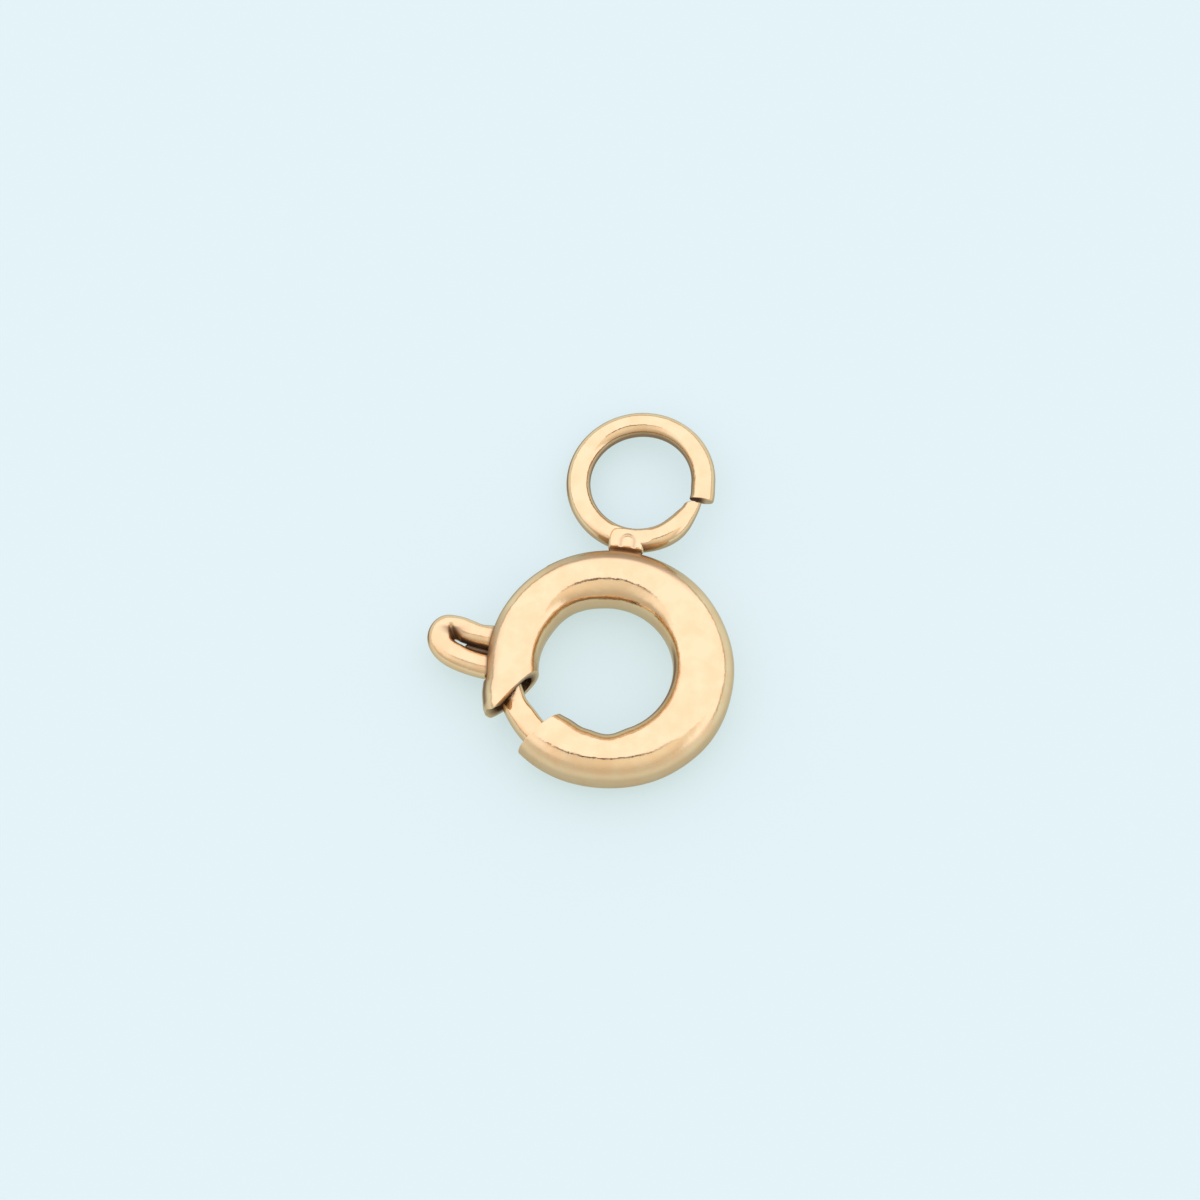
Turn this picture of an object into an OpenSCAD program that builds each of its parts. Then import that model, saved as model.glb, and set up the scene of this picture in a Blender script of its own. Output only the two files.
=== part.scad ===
// Spring ring clasp for a fine chain: a hollow ring with an open mouth, and a sprung bolt inside
// it that a thumb trigger draws back. It lies flat. The origin is the centre of the ring, +Z is
// the ring's axis and +Y points to the eye ring. Lengths are in millimetres. Angles are in
// degrees about Z, counted from +X towards +Y.

/* [Ring tube] */
// Radius of the ring, at the middle of its tube
ring_r = 2.3; // [2.28:0.01:2.32]
// Outer radius of the tube
tube_r = 0.7; // [0.67:0.01:0.72]
// Radius of the tube's bore
bore_r = 0.5; // [0.48:0.01:0.54]

/* [Mouth] */
// Direction of the cut that opens the ring
mouth_angle = 220; // [217:1:223]
// Distance from the ring's centre to the cut's face nearer the trigger
mouth_upper = 0.99; // [0.94:0.01:1.04]
// Distance from the ring's centre to the cut's other face
mouth_lower = 0.19; // [0.12:0.01:0.24]

/* [Bolt] */
// Radius of the bolt
bolt_r = 0.34; // [0.3:0.01:0.35]
// Radius of the bolt's curve, which runs towards the outer side of the bore
bolt_curve_r = 2.38; // [2.34:0.01:2.4]
// Angle of the bolt's tip when the clasp is shut
bolt_tip_angle = 229; // [228:1:234]
// Angle of the bolt's hidden end, which the spring pushes on
bolt_end_angle = 153; // [152:1:155]
// Angle that the bolt slides through
bolt_travel = 36; // [32:1:40]

/* [Thumb trigger] */
// Radius of the trigger's wire
trigger_wire_r = 0.3; // [0.26:0.01:0.31]
// Distance between the middles of the trigger's two legs
trigger_pitch = 0.74; // [0.7:0.01:0.78]
// Direction that the trigger points in
trigger_angle = 162; // [160:0.5:164]
// Distance from the ring's centre to the middle of the trigger's bend, along that direction
trigger_reach = 3.73; // [3.6:0.01:4]
// Distance of the trigger's middle line from the ring's centre, towards the mouth
trigger_offset = 0.44; // [0.36:0.01:0.48]

/* [Thumb slot] */
// Height of the slot in the tube's outer wall
slot_h = 0.66; // [0.64:0.01:0.74]
// Angle left free at each end of the slot
slot_play = 1; // [0.5:0.1:2]

/* [Return spring] */
// Radius of the coil, at the middle of its wire
coil_r = 0.36; // [0.3:0.01:0.38]
// Radius of the spring's wire
coil_wire_r = 0.06; // [0.05:0.005:0.07]
// Number of turns
coil_turns = 11; // [8:1:13]
// Angle of the stop that the spring pushes against
stop_angle = 56; // [50:1:60]

/* [Eye ring] */
// Radius of the eye, at the middle of its wire
eye_r = 1.5; // [1.46:0.01:1.53]
// Radius of the eye's wire
eye_wire_r = 0.29; // [0.27:0.005:0.3]
// Centre of the eye, towards +X
eye_x = 0.765; // [0.7:0.005:0.8]
// Centre of the eye, towards +Y
eye_y = 4.82; // [4.8:0.01:4.85]
// Centre of the eye, towards +Z
eye_z = -0.1; // [-0.14:0.01:-0.06]
// Tilt that lowers the eye's far side
eye_pitch = -3.4; // [-5:0.1:0]
// Tilt that lifts the eye's open side
eye_roll = -5.1; // [-7:0.1:0]
// Angle of the eye's gap
eye_gap_angle = -21.4; // [-26:0.1:-16]
// Width of the eye's gap
eye_gap = 0.1; // [0.06:0.01:0.2]
// Angle where the eye begins to turn inwards towards its gap
eye_pinch_angle = 285; // [270:1:300]
// How much tighter the eye is bent beyond that angle
eye_pinch = 0.24; // [0:0.01:0.3]

/* [Solder joint] */
// Width of the neck between the ring and the eye, along the ring
neck_w = 0.84; // [0.76:0.01:0.9]
// Thickness of the neck
neck_t = 0.44; // [0.36:0.01:0.5]
// Length of the flat pad that is pressed on the eye's wire over the neck
pad_l = 0.94; // [0.8:0.01:1.1]
// Depth of the press on each face
pad_depth = 0.05; // [0.02:0.01:0.08]

/* [Hidden] */
$fn = 96;
gold = [0.87, 0.72, 0.5];
spring_steel = [0.72, 0.72, 0.7];

// Length that a cutting or joining solid runs past a surface
past = 0.2;
slot_inner_r = ring_r + bore_r;
slot_outer_r = ring_r + tube_r + past;

// The trigger's legs, as distances from a line through the ring's centre
leg_upper = trigger_offset - trigger_pitch / 2;
leg_lower = trigger_offset + trigger_pitch / 2;

// The bolt's tip is a cone with a small flat end, set a little way into the rod
tip_l = 0.16;
tip_inset = 0.05;
tip_start_r = bolt_r - 0.02;
tip_end_r = 0.6 * bolt_r;

// The slot runs from one leg's edge to where the other leg's edge comes to when the bolt is drawn
slot_end = trigger_angle + asin((leg_lower + trigger_wire_r) / slot_inner_r) + slot_play;
slot_start = trigger_angle + asin((leg_upper - trigger_wire_r) / slot_inner_r)
    - bolt_travel - slot_play;

// The eye is soldered on where it comes nearest to the ring
neck_angle = atan2(eye_y, eye_x);
wall_t = tube_r - bore_r;
neck_start_r = ring_r + bore_r + wall_t / 2;
neck_end_r = norm([eye_x, eye_y]) - eye_r;

// The tighter arc's own angle where it comes to the gap
pinched_end_angle = eye_gap_angle - asin(eye_gap / 2 / eye_r)
    + asin(eye_pinch * sin(eye_gap_angle - eye_pinch_angle + 360) / (eye_r - eye_pinch));

// The spring fills the bore from the stop to the bolt's hidden end
stop_length_angle = 5;
coil_clear_angle = 1.5;
coil_start_angle = stop_angle + stop_length_angle / 2 + coil_clear_angle;
coil_end_angle = bolt_end_angle - coil_clear_angle;
coil_sides = 5;
coil_steps_per_turn = 14;
coil_steps = coil_turns * coil_steps_per_turn;

// A curved rod of round section about the ring's axis
module arc_rod(curve_r, rod_r, from_angle, to_angle) {
    rotate_extrude(angle = to_angle - from_angle, start = from_angle)
        translate([curve_r, 0])
            circle(r = rod_r);
}

// Everything between the two parallel faces of the mouth
module mouth_cut() {
    from_centre = 1;
    width = mouth_upper + mouth_lower;
    rotate([0, 0, mouth_angle])
        translate([from_centre, -mouth_upper, -2 * tube_r])
            cube([ring_r + tube_r, width, 4 * tube_r]);
}

// The slot that the trigger slides along
module slot_cut() {
    rotate_extrude(angle = slot_end - slot_start, start = slot_start)
        translate([ring_r, -slot_h / 2])
            square([slot_outer_r - ring_r, slot_h]);
}

// The hollow tube, bent to a ring and cut open
module tube() {
    difference() {
        rotate_extrude()
            translate([ring_r, 0])
                difference() {
                    circle(r = tube_r);
                    circle(r = bore_r);
                }
        mouth_cut();
        slot_cut();
    }
}

// The plug in the bore that the spring pushes against
module spring_stop() {
    half = stop_length_angle / 2;
    arc_rod(ring_r, (bore_r + tube_r) / 2, stop_angle - half, stop_angle + half);
}

// Moves its children from the eye's own plane to its place over the ring
module at_eye() {
    translate([eye_x, eye_y, eye_z])
        rotate([eye_pitch, eye_roll, 0])
            children();
}

// The eye's wire: a round arc from the gap, and a tighter one that turns inwards back to the gap
module eye_wire() {
    half_gap = asin(eye_gap / 2 / eye_r);
    shift = eye_pinch * [cos(eye_pinch_angle), sin(eye_pinch_angle), 0];
    arc_rod(eye_r, eye_wire_r, eye_gap_angle + half_gap, eye_pinch_angle);
    translate(shift)
        arc_rod(eye_r - eye_pinch, eye_wire_r, eye_pinch_angle, 360 + pinched_end_angle);
}

// The press marks that flatten the eye's wire over the neck, above and below
module pad_cut() {
    for (side = [-1, 1])
        rotate([0, 0, neck_angle])
            translate([-eye_r, 0, side * (eye_wire_r - pad_depth + past / 2)])
                cube([4 * eye_wire_r, pad_l, past], center = true);
}

// The solder between the ring and the eye, of a flat oval section
module neck() {
    side = (neck_w - neck_t) / 2;
    rotate([0, 0, neck_angle])
        translate([neck_start_r, 0, 0])
            rotate([90, 0, 90])
                linear_extrude(neck_end_r - neck_start_r)
                    union() {
                        square([2 * side, neck_t], center = true);
                        translate([-side, 0])
                            circle(d = neck_t);
                        translate([side, 0])
                            circle(d = neck_t);
                    }
}

// The bolt's curved rod and its narrowed tip
module bolt_rod() {
    arc_rod(bolt_curve_r, bolt_r, bolt_end_angle, bolt_tip_angle);
    rotate([0, 0, bolt_tip_angle])
        translate([bolt_curve_r, -tip_inset, 0])
            rotate([-90, 0, 0])
                cylinder(h = tip_inset + tip_l, r1 = tip_start_r, r2 = tip_end_r);
}

// One leg of the trigger, from the middle of the bolt's rod out to the bend
module trigger_leg(offset) {
    inner = sqrt(bolt_curve_r * bolt_curve_r - offset * offset);
    translate([inner, offset, 0])
        rotate([0, 90, 0])
            cylinder(h = trigger_reach - inner, r = trigger_wire_r);
}

// The hairpin of wire that the thumb draws back, soldered into the bolt's rod
module trigger() {
    rotate([0, 0, trigger_angle]) {
        trigger_leg(leg_upper);
        trigger_leg(leg_lower);
        translate([trigger_reach, trigger_offset, 0])
            arc_rod(trigger_pitch / 2, trigger_wire_r, -90, 90);
    }
}

// Where the coil's wire is, at a fraction of its length, and a given distance from its middle
function coil_point(fraction, round_angle, wire_r) =
    let (
        turn = 360 * coil_turns * fraction,
        along = coil_start_angle + (coil_end_angle - coil_start_angle) * fraction,
        from_axis = coil_r + wire_r * cos(round_angle),
        reach = ring_r + from_axis * cos(turn),
        slip = atan(wire_r * sin(round_angle) / ring_r)
    )
    [reach * cos(along + slip), reach * sin(along + slip), from_axis * sin(turn)];

// The coil's wire as rings of points, each joined to the next
module coil() {
    points = [
        for (step = [0:coil_steps], side = [0:coil_sides - 1])
            coil_point(step / coil_steps, side * 360 / coil_sides, coil_wire_r)
    ];
    walls = [
        for (step = [0:coil_steps - 1], side = [0:coil_sides - 1])
            let (next = (side + 1) % coil_sides, here = step * coil_sides)
            [here + side, here + next, here + coil_sides + next, here + coil_sides + side]
    ];
    first_cap = [for (side = [coil_sides - 1:-1:0]) side];
    last_cap = [for (side = [0:coil_sides - 1]) coil_steps * coil_sides + side];
    polyhedron(points, concat(walls, [first_cap, last_cap]));
}

module ring_case() {
    color(gold) {
        tube();
        spring_stop();
        neck();
        at_eye()
            difference() {
                eye_wire();
                pad_cut();
            }
    }
}

module bolt() {
    color(gold) {
        bolt_rod();
        trigger();
    }
}

module return_spring() {
    color(spring_steel)
        coil();
}

ring_case();
bolt();
return_spring();
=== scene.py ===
"""A spring ring clasp in polished gold, lying on a plain pale floor.

Lengths are in millimetres, and mm() turns them into the frame's metres. Angles are in degrees about +Z,
counted from +X towards +Y. A grid of points is an array of sections, each an array of points round the
section. A named pair of values gives the start and the end of a fade.
"""

import math

import bmesh
import bpy
import numpy as np
from mathutils import Matrix, Vector


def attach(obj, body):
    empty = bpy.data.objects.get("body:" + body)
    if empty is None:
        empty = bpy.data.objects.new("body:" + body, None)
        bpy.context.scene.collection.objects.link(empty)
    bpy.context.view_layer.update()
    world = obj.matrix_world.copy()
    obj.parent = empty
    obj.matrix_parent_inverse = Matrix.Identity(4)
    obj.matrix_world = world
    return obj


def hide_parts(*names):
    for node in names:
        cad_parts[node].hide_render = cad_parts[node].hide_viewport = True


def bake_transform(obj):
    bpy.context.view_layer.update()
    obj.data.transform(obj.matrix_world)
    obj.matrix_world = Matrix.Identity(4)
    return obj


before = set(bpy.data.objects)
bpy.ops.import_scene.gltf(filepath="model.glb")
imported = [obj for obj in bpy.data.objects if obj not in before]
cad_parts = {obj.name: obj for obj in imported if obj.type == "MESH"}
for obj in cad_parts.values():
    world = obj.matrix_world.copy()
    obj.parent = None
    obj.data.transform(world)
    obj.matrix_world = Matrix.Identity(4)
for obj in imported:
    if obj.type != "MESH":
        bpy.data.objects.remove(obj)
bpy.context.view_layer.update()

# The ring's tube, as in the part's source
RING_R = 2.3
TUBE_R = 0.7
BORE_R = 0.5
MOUTH_NORMAL = 130.0
MOUTH_UPPER = 0.99
MOUTH_LOWER = -0.19
SLOT_HALF_H = 0.33
SLOT_START = 120.3
SLOT_END = 186.4

# The ring's outline and its hole, whose middle is a little to the left of the ring's
OUTLINE_R = 2.99
HOLE_R = 1.6
HOLE_SHIFT = 0.077
# Soft dents in the hole's edge and in the outline: the angle, the reach to each side and the depth
HOLE_DENTS = ((120, 28, 0.045), (269, 17, 0.075), (236, 14, -0.05))
OUTLINE_DENTS = ((25, 25, 0.02), (268, 35, 0.04), (325, 25, -0.025))
# By the upper mouth the outline runs straight between two angles, and is spread by a little
STRAIGHT = (184, 198)
SPREAD = 0.08
SPREAD_AT = (182, 193)
# By the upper mouth the bore runs off its middle, is lower and is a little smaller
BORE_OFF_AT = (184, 195)
BORE_OFF = 0.03
BORE_DROP = 0.05
BORE_SHRINK = 0.06
# How much squarer than round the side by the hole is, to the left and right of the hole
HOLE_SQUARE = 0.22

# The tube's mesh: points round a section, points on each side of the slot's middle line, and sections
# before the slot, along it and in the slanted stretch at each end of the tube
TUBE_SIDES = 96
SLOT_BAND = 9
FIRST_SECTION = -118
SECTIONS_BEFORE = 210
SECTIONS_ALONG = 64
SECTIONS_AT_MOUTH = 18
SLOT_ROWS = (SECTIONS_AT_MOUTH + SECTIONS_BEFORE, SECTIONS_AT_MOUTH + SECTIONS_BEFORE + SECTIONS_ALONG - 1)
TUBE_BEVEL = 0.028
SHARP_ANGLE = 40
# Where the search for the mouth's faces starts, and its rounds
LOWER_GUESS = -135.0
UPPER_GUESS = 195.0
FACE_ROUNDS = 30
# The sections by the hole are drawn back from this angle on, so that the slanted stretch is at least
# this long
DRAWN_FROM = 150
LEAST_SLANTED = 5

# The bolt and its thumb trigger. A roundness of 1 would be a round rod.
BOLT_R = 0.34
BOLT_CURVE_R = 2.38
BOLT_START = 153.0
BOLT_TIP = 231.5
BOLT_SLIM = 0.035
BOLT_ROUNDNESS = 0.86
TRIGGER_R = 0.3
# The angles up to which the bolt is slimmer, painted with shade and dull, from its hidden end on
BOLT_SLIM_TO = (200, 213)
BOLT_SHADE_TO = (187, 191)
BOLT_DULL_TO = (198, 206)

# The return spring
COIL_R = 0.36
COIL_WIRE_R = 0.06
COIL_TURNS = 11
COIL_START = 60.0
COIL_END = 151.5
COIL_STEPS = 28
COIL_SIDES = 10

# The eye ring
EYE_R = 1.504
EYE_WIRE_R = 0.288
EYE_CENTRE = np.array([0.765, 4.817, -0.1])
EYE_PITCH = math.radians(-3.4)
EYE_ROLL = math.radians(-5.1)
EYE_START = -19.5
EYE_FINISH = 333.3
EYE_SECTIONS = 320
EYE_SIDES = 56
EYE_PRESS = 0.05

# The share of painted shade on the flanks, on those that face the hole, and on those that face the far
# left
FLANK_SHADE = 0.2
HOLE_SHADE = 0.3
FAR_SHADE = 0.85
# How far towards the near side, along -Y, the hole's rim goes from clean to dull and painted with shade
NEAR_RIM = (-0.9, 0.3)

# The photograph's frame: its side in pixels and in millimetres at the clasp, and the point at its middle
PHOTO_SIDE_PX = 1200
PX_PER_MM = 41.83
VIEW_TARGET = (-0.215, 1.775, 0.0)
VIEW_ELEVATION = 70.0
VIEW_DISTANCE = 350.0
SENSOR_W = 36

# The studio's light, by direction. The box, the line and the glow's depth are placed by how far along
# +Y and across X a ray goes for each unit that it climbs, and the panel, the glow's side and the room
# by the direction's own X and Z. A white panel stands at the right, and a soft glow is at the left.
LEAST_CLIMB = 0.02
BOX_FRONT = (-0.265, -0.245)
BOX_BACK = (4.0, 9.0)
BOX_SIDES = (5.0, 12.0)
BOX_LEVEL = 1.27
PANEL_SIDE = (0.62, 0.86)
PANEL_FOOT = (0.08, 0.2)
GLOW_SIDE = (0.15, 0.7)
GLOW_DEPTH = (-2.1, -0.3)
GLOW_LEVEL = 0.78
BOX_COLOUR = (0.98, 1.0, 1.13)
ROOM_COLOUR = (1.0, 1.0, 0.96)
ROOM_LOW = 0.57
ROOM_LEFT = 0.81
ROOM_RIGHT = 1.0
ROOM_ACROSS = (-0.5, 0.5)
ROOM_HEIGHT = (0.1, 0.95)
LINE_ALONG = -0.29
LINE_SIDE = 0.03
LINE_DEPTH = (0.042, 0.065)
LINE_ACROSS = (0.14, 0.6)
LINE_LEVEL = 0.08


def mm(value):
    """Millimetres as the frame's metres."""
    return value * 0.001


def smooth(x, low, high):
    """0 below low, 1 above high, and a smooth step between."""
    t = np.clip((np.asarray(x, float) - low) / (high - low), 0, 1)
    return t * t * (3 - 2 * t)


def bump_at(x, middle, width):
    """A smooth hump of height 1 at the middle that dies out within the width on each side."""
    return 1 - smooth(np.abs(np.asarray(x, float) - middle), 0, width)


def squarish(turn, power):
    """An angle's cosine and sine, pushed out towards a square where the power is below 1."""
    across, up = np.cos(turn), np.sin(turn)
    return np.sign(across) * np.abs(across) ** power, np.sign(up) * np.abs(up) ** power


def unit_rows(vectors):
    """Each vector of an array at length 1."""
    return vectors / np.linalg.norm(vectors, axis=1)[:, None]


# Pieces

def new_object(name, data):
    """An object in the scene that holds a mesh or a camera."""
    item = bpy.data.objects.new(name, data)
    bpy.context.scene.collection.objects.link(item)
    return item


def shade_smooth(mesh):
    """Shades every face of a mesh smooth."""
    mesh.polygons.foreach_set("use_smooth", [True] * len(mesh.polygons))


def new_piece(name, points, faces):
    """A smooth object from points in millimetres, with every face turned outwards."""
    mesh = bpy.data.meshes.new(name)
    mesh.from_pydata(mm(np.asarray(points)).tolist(), [], faces)
    mesh.validate()
    work = bmesh.new()
    work.from_mesh(mesh)
    bmesh.ops.recalc_face_normals(work, faces=work.faces)
    work.to_mesh(mesh)
    work.free()
    shade_smooth(mesh)
    return new_object(name, mesh)


def points_of(piece):
    """A piece's points in millimetres."""
    points = np.empty(len(piece.data.vertices) * 3)
    piece.data.vertices.foreach_get("co", points)
    return points.reshape(-1, 3) * 1000


def normals_of(piece):
    """The direction that a piece's surface faces in at each of its points."""
    normals = np.empty(len(piece.data.vertices) * 3)
    piece.data.vertices.foreach_get("normal", normals)
    return normals.reshape(-1, 3)


def write_share(piece, name, share):
    """Stores a share from 0 to 1 at each of a piece's points, for its material."""
    share = np.broadcast_to(np.asarray(share, float), len(piece.data.vertices))
    layer = piece.data.attributes.new(name, "FLOAT", "POINT")
    layer.data.foreach_set("value", np.clip(share, 0, 1))


def paint_shade_and_wear(piece, crevices=0.0, flanks=FLANK_SHADE, wear=0.0):
    """Gives a piece its painted shade and its dull worn patches. Its flanks get some painted shade too,
    and those that face up and to the far left get more."""
    right, along, up = normals_of(piece).T
    flanks = flanks * (1 - smooth(up, 0.3, 0.6))
    far = FAR_SHADE * smooth(0.75 * along - 0.65 * right, 0.15, 0.6)
    far = far * smooth(up, 0.05, 0.34) * (1 - smooth(up, 0.4, 0.66))
    crevices = np.broadcast_to(crevices, far.shape)
    write_share(piece, "painted_shade", np.maximum.reduce([flanks, far, crevices]))
    write_share(piece, "wear", wear)


# Wires

def on_arc(radius, angles, height=0.0):
    """Points on a curve about the ring's axis."""
    turn = np.radians(angles)
    flat = np.broadcast_to(np.asarray(height, float), np.shape(turn))
    return np.stack([radius * np.cos(turn), radius * np.sin(turn), flat], axis=-1)


def curve_through(points, steps):
    """A smooth curve through points, with a number of steps from each to the next."""
    points = np.asarray(points, float)
    ends = np.concatenate([[2 * points[0] - points[1]], points, [2 * points[-1] - points[-2]]])
    out = []
    for n in range(len(points) - 1):
        before, here, there, after = ends[n:n + 4]
        for t in np.linspace(0, 1, steps, endpoint=False):
            bend = 2 * before - 5 * here + 4 * there - after
            twist = 3 * here - before - 3 * there + after
            out.append(here + 0.5 * ((there - before) * t + bend * t * t + twist * t * t * t))
    out.append(points[-1])
    return np.array(out)


def distance_to_line(points, line):
    """Distance in X and Y from each point to a line of straight parts."""
    line = np.asarray(line, float)
    nearest = np.full(len(points), np.inf)
    for start, end in zip(line[:-1], line[1:]):
        part = end - start
        share = np.clip((points - start) @ part / (part @ part), 0, 1)
        nearest = np.minimum(nearest, np.linalg.norm(points - start - share[:, None] * part, axis=1))
    return nearest


def rings_about(path, side, rise, size, across, up):
    """A grid of rings about a path, from each ring's shares of its size to the side and upwards."""
    offset = across[None, :, None] * side[:, None] + up[None, :, None] * rise[:, None]
    return path[:, None] + size[:, None, None] * offset


def closed_piece(name, sections):
    """A closed piece from a grid of points, with a face over each end."""
    rows, columns = sections.shape[:2]
    faces = []
    for first in range(0, (rows - 1) * columns, columns):
        for column in range(columns):
            here, after = first + column, first + (column + 1) % columns
            faces.append((here, after, after + columns, here + columns))
    faces.append(tuple(range(columns))[::-1])
    faces.append(tuple((rows - 1) * columns + n for n in range(columns)))
    return new_piece(name, sections.reshape(-1, 3), faces)


def end_of(grid, at_end):
    """The rim at one end of a grid, the rim's middle and the direction out of it."""
    rim, inner = (grid[-1], grid[-2]) if at_end else (grid[0], grid[1])
    middle = rim.mean(0)
    out = middle - inner.mean(0)
    return rim, middle, out / np.linalg.norm(out)


# A domed end's rings, and how far round to its top the last one lies
DOME_RINGS = 6
DOME_TURN = 0.985 * math.pi / 2


def domed_end(grid, at_end, reach):
    """Rings that close a grid's end with a dome, from the rim to near its middle."""
    rim, middle, out = end_of(grid, at_end)
    radius = np.linalg.norm(rim - middle, axis=1).mean()
    turns = [DOME_TURN * (ring + 1) / DOME_RINGS for ring in range(DOME_RINGS)]
    return [middle + (rim - middle) * math.cos(t) + out * radius * reach * math.sin(t) for t in turns]


# A cut end's rings: the share of the wire's radius, and the distance past the wire's end
CUT_RINGS = (
    (0.985, 0.012), (0.95, 0.022), (0.9, 0.026), (0.7, 0.027), (0.5, 0.027), (0.3, 0.027), (0.1, 0.027),
)


def cut_end(grid, at_end):
    """Rings that close a grid's end with a flat face and a narrow bevel."""
    rim, middle, out = end_of(grid, at_end)
    return [middle + (rim - middle) * size + out * ahead for size, ahead in CUT_RINGS]


def swept(name, path, radius, sides=48, domed=True, reach=1.0, shape=None):
    """A wire along a path of points. Its ends are cut, or domed to a share of a half ball's reach, and
    shape may move the points of its sections."""
    tangent = unit_rows(np.gradient(path, axis=0))
    side = unit_rows(np.cross((0.0, 0.0, 1.0), tangent))
    rise = np.cross(tangent, side)
    turn = np.linspace(0, 2 * math.pi, sides, endpoint=False)
    size = np.broadcast_to(np.asarray(radius, float), len(path))
    grid = rings_about(path, side, rise, size, np.cos(turn), np.sin(turn))
    if shape:
        grid = shape(grid, path, side, rise, turn)
    if domed:
        start, finish = domed_end(grid, False, reach), domed_end(grid, True, reach)
    else:
        start, finish = cut_end(grid, False), cut_end(grid, True)
    return closed_piece(name, np.array(start[::-1] + list(grid) + finish))


def make_even(piece, size, rounds):
    """Gives a piece one closed skin of even faces of a size in millimetres, and smooths it."""
    piece.data.transform(Matrix.Scale(1000, 4))
    even = piece.modifiers.new("even", "REMESH")
    even.mode = "VOXEL"
    even.voxel_size = size
    soft = piece.modifiers.new("soft", "SMOOTH")
    soft.factor = 0.5
    soft.iterations = rounds
    mesh = bpy.data.meshes.new_from_object(piece.evaluated_get(bpy.context.evaluated_depsgraph_get()))
    piece.modifiers.clear()
    mesh.transform(Matrix.Scale(0.001, 4))
    mesh.name = piece.name
    shade_smooth(mesh)
    piece.data = mesh


# Ring tube

def dents_at(around, dents):
    """The depth of a row of soft dents at each angle."""
    return sum(depth * bump_at(around, middle, width) for middle, width, depth in dents)


def hole_edge(angles):
    """Radius of the ring's hole at each angle."""
    around = np.asarray(angles, float) % 360
    return HOLE_R - HOLE_SHIFT * np.cos(np.radians(around)) + dents_at(around, HOLE_DENTS)


def outer_edge(angles):
    """Radius of the ring's outline at each angle."""
    angles = np.asarray(angles, float)
    past = np.radians(np.clip(angles, *STRAIGHT) - STRAIGHT[0])
    straight = (RING_R + TUBE_R) * (1 / np.cos(past) - 1)
    spread = SPREAD * smooth(angles, *SPREAD_AT)
    return OUTLINE_R + straight + spread - dents_at(angles % 360, OUTLINE_DENTS)


def section_points(angle, turns, bore):
    """Radius from the ring's centre and height of a section's points, on the tube or in its bore."""
    edge, hole = outer_edge(angle), hole_edge(angle)
    middle, half = (edge + hole) / 2, (edge - hole) / 2
    square = np.where(np.cos(turns) < 0, HOLE_SQUARE, 0.0) * np.cos(np.radians(angle)) ** 2
    across, up = squarish(turns, 1 - square)
    if not bore:
        return middle + half * across, TUBE_R * up
    off = smooth(angle, *BORE_OFF_AT)
    size = BORE_R * (1 - BORE_SHRINK * off)
    return middle - BORE_OFF * off + size * half / TUBE_R * across, size * up - BORE_DROP * off


def tube_turns(radius):
    """Angles round the tube's section. The first 2 * SLOT_BAND of them span the slot's height."""
    slot_turn = math.asin(SLOT_HALF_H / radius)
    in_slot = np.linspace(-slot_turn, slot_turn, 2 * SLOT_BAND, endpoint=False)
    rest = TUBE_SIDES - 2 * SLOT_BAND
    return np.concatenate([in_slot, np.linspace(slot_turn, 2 * math.pi - slot_turn, rest, endpoint=False)])


def face_angles(turns, bore, upper):
    """The angle where each line along the tube meets a face of the mouth. The upper face is worn at its
    outer corner, and reaches out over the bolt at its shoulder."""
    out, rise = np.cos(turns), np.sin(turns)
    if upper:
        shoulder = smooth(out, -0.7, 0.6) * (1 - smooth(out, 0.72, 0.97)) * smooth(rise, 0.0, 0.4)
        offset = MOUTH_UPPER + 0.06 * smooth(out, 0.8, 1.0) - 0.09 * shoulder
        guess, whole_turn = UPPER_GUESS, 0
    else:
        offset, guess, whole_turn = MOUTH_LOWER, LOWER_GUESS, -360
    angle = np.full(turns.shape, guess)
    for _ in range(FACE_ROUNDS):
        radius = section_points(angle, turns, bore)[0]
        angle = MOUTH_NORMAL + np.degrees(np.arccos(offset / radius)) + whole_turn
    return angle


def tube_grid(bore):
    """The tube's outer or bore surface as sections from the lower mouth to the upper one. The sections
    turn from straight to the mouth's slant, on the side by the hole from well before the slot's end."""
    turns = tube_turns(BORE_R if bore else TUBE_R)
    low, high = face_angles(turns, bore, False), face_angles(turns, bore, True)
    shift = (np.minimum(SLOT_END, high - LEAST_SLANTED) - SLOT_END) * smooth(-np.cos(turns), -0.85, 0.9)
    last = SLOT_END + shift
    straight = np.concatenate([
        np.linspace(FIRST_SECTION, SLOT_START, SECTIONS_BEFORE, endpoint=False),
        np.linspace(SLOT_START, SLOT_END, SECTIONS_ALONG),
    ])
    shares = np.linspace(0, 1, SECTIONS_AT_MOUTH + 1)
    angles = [low + (FIRST_SECTION - low) * share for share in shares[:-1]]
    angles += [angle + shift * smooth(angle, DRAWN_FROM, SLOT_END) for angle in straight]
    angles += [last + (high - last) * share for share in shares[1:]]
    grid = []
    for angle in angles:
        radius, height = section_points(angle, turns, bore)
        grid.append(on_arc(radius, angle, height))
    return np.array(grid)


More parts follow.
